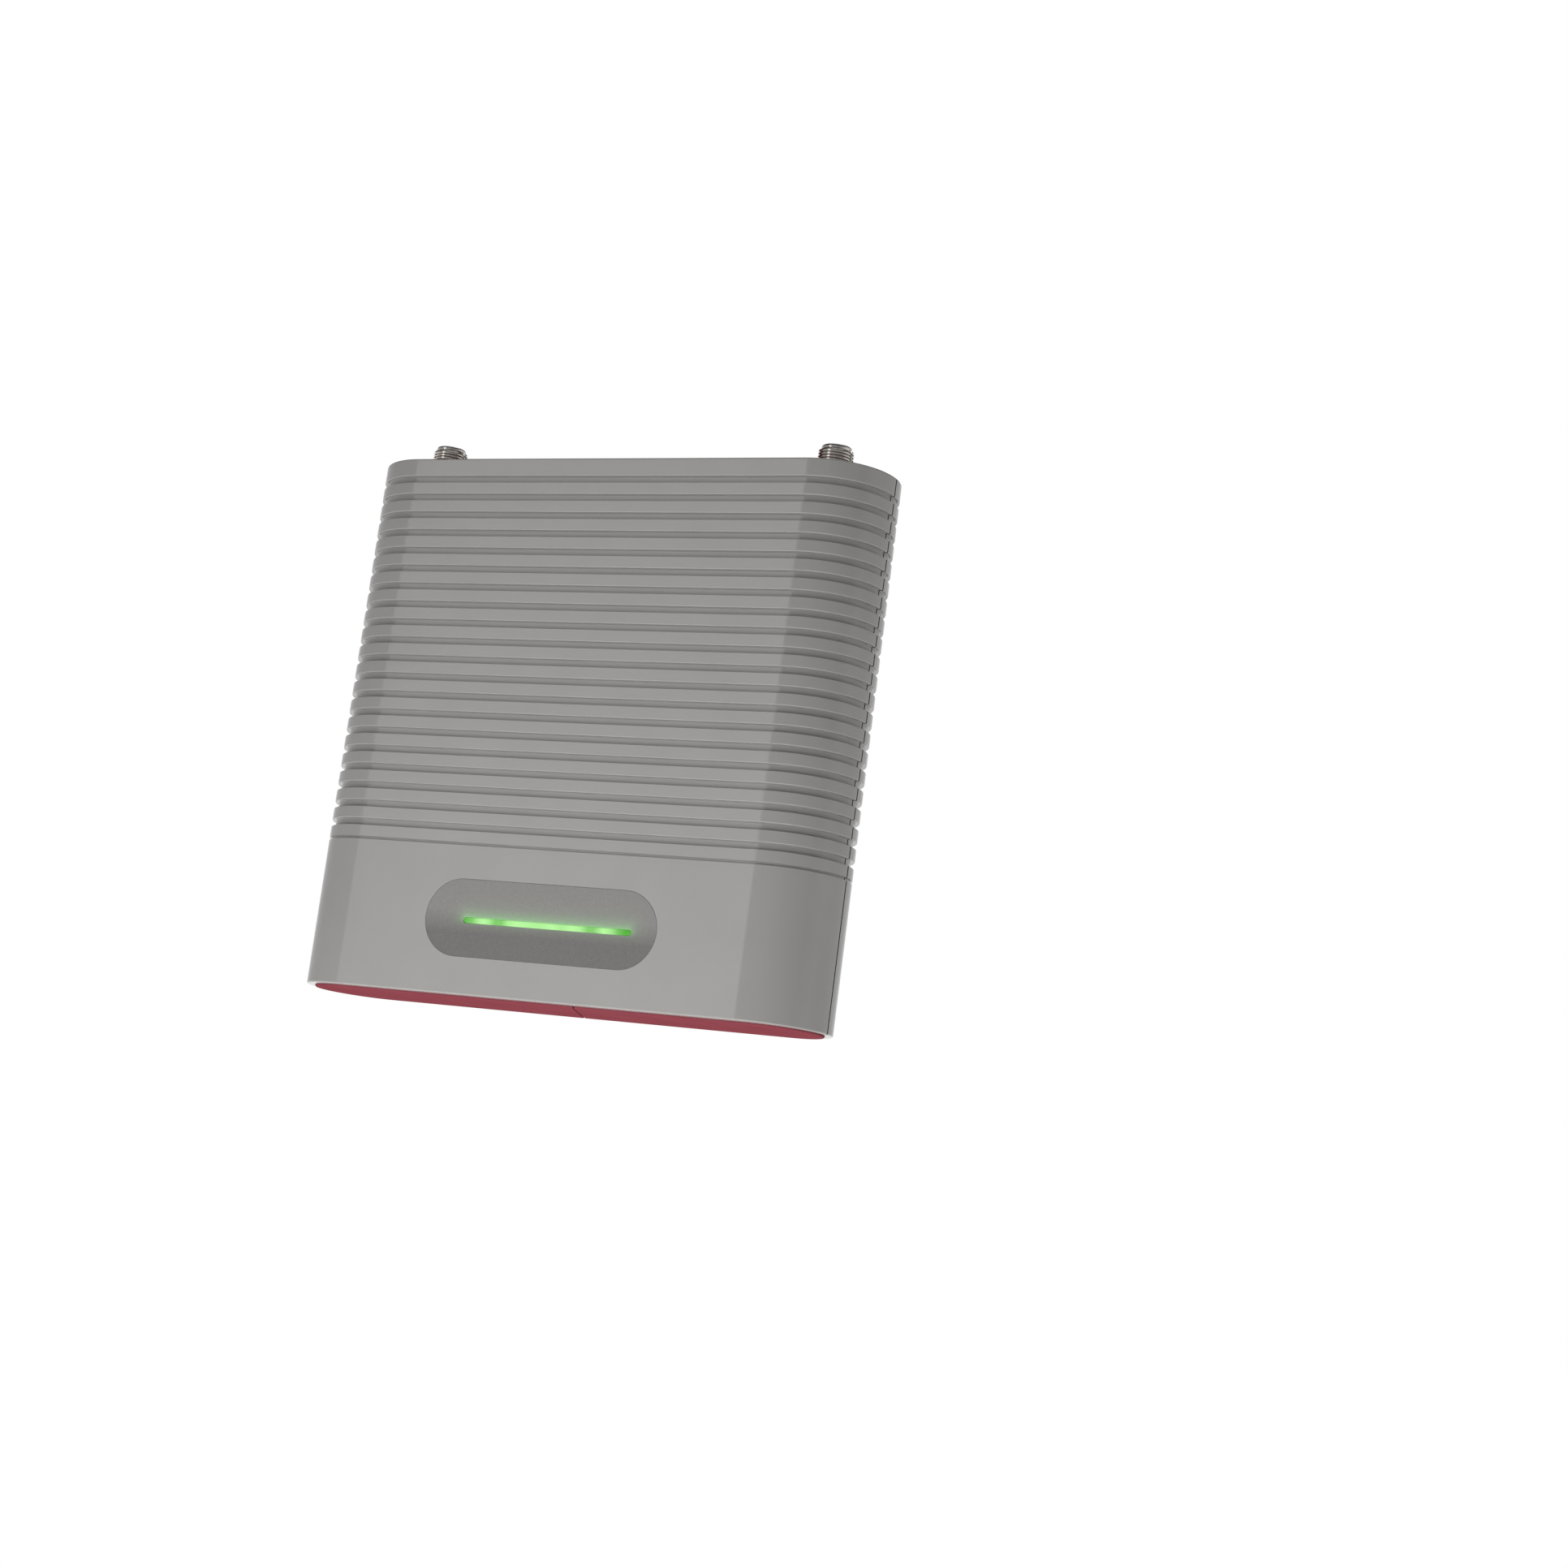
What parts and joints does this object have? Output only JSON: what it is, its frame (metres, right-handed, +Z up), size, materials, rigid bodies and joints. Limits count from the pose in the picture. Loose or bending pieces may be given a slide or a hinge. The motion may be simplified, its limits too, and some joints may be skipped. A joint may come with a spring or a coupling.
{
  "type": "cellular signal booster",
  "caption": "Indoor cellular signal booster: two ribbed grey shells with rounded ends, red top panel and bottom cover, lit pill window, two threaded F ports and a power jack on top.",
  "frame": {"origin": "middle of the underside, on the plane the booster rests on", "axes": "+Z up through the ports, the window faces -Y, +X to the right as seen from the front"},
  "size_m": [0.152, 0.036, 0.1529],
  "materials": {
    "shell_paint": "satin grey paint on a die casting",
    "red_plastic": "satin crimson moulded plastic",
    "window_grey": "smoked grey, finely speckled",
    "green_light": "clear light guide, lit green",
    "adhesive_foam": "double-sided foam tape",
    "circuit_board": "green solder mask",
    "led_package": "clear resin over a pale package",
    "plated_steel": "zinc plate",
    "black_steel": "black zinc plate",
    "tinned_steel": "bright tin",
    "nickel_brass": "bright nickel plate",
    "gold_contact": "gold flash",
    "port_insulator": "white fluoropolymer",
    "black_plastic": "moulded nylon",
    "chip_black": "moulded epoxy package",
    "filter_ceramic": "glazed ceramic with silver edges",
    "inductor_core": "pressed ferrite",
    "capacitor_can": "bare drawn can",
    "capacitor_ceramic": "fired ceramic",
    "thermal_silicone": "soft gap pad"
  },
  "bodies": {
    "root": {"board_screws": "plated_steel", "bottom_cover_left": "red_plastic", "bottom_cover_right": "red_plastic", "case_screws": "black_steel", "ceramic_capacitors": "capacitor_ceramic", "control_chip": "chip_black", "duplexer_filters": "filter_ceramic", "electrolytic_capacitors": "capacitor_can", "front_shell": "shell_paint", "inside_port_body": "nickel_brass", "inside_port_contact": "gold_contact", "inside_port_insulator": "port_insulator", "led_board": "circuit_board", "led_board_screws": "plated_steel", "led_header_block": "black_plastic", "led_header_pins": "gold_contact", "lens_adhesive": "adhesive_foam", "light_guide": "green_light", "low_noise_amplifiers": "chip_black", "main_board": "circuit_board", "oscillator": "plated_steel", "outside_port_body": "nickel_brass", "outside_port_contact": "gold_contact", "outside_port_insulator": "port_insulator", "power_amplifiers": "chip_black", "power_inductors": "inductor_core", "power_jack_housing": "black_plastic", "power_jack_pin": "nickel_brass", "power_jack_terminal": "nickel_brass", "rear_shell": "shell_paint", "shield_frame_left": "tinned_steel", "shield_frame_right": "tinned_steel", "shield_lid_left": "tinned_steel", "shield_lid_right": "tinned_steel", "status_leds": "led_package", "surface_wave_filters": "plated_steel", "thermal_pad_left": "thermal_silicone", "thermal_pad_right": "thermal_silicone", "top_panel": "red_plastic", "voltage_regulators": "chip_black", "window_lens": "window_grey"},
    "sleeve_spring": {"power_jack_spring": "gold_contact"}
  },
  "joints": [
    {"name": "jack_spring_flex", "type": "hinge", "parent": "root", "child": "sleeve_spring", "pos_m": [0, -0.0046, 0.1319], "axis": [1, 0, 0], "range_deg": [0, 3], "stiffness_Nm_per_rad": 0.5}
  ]
}
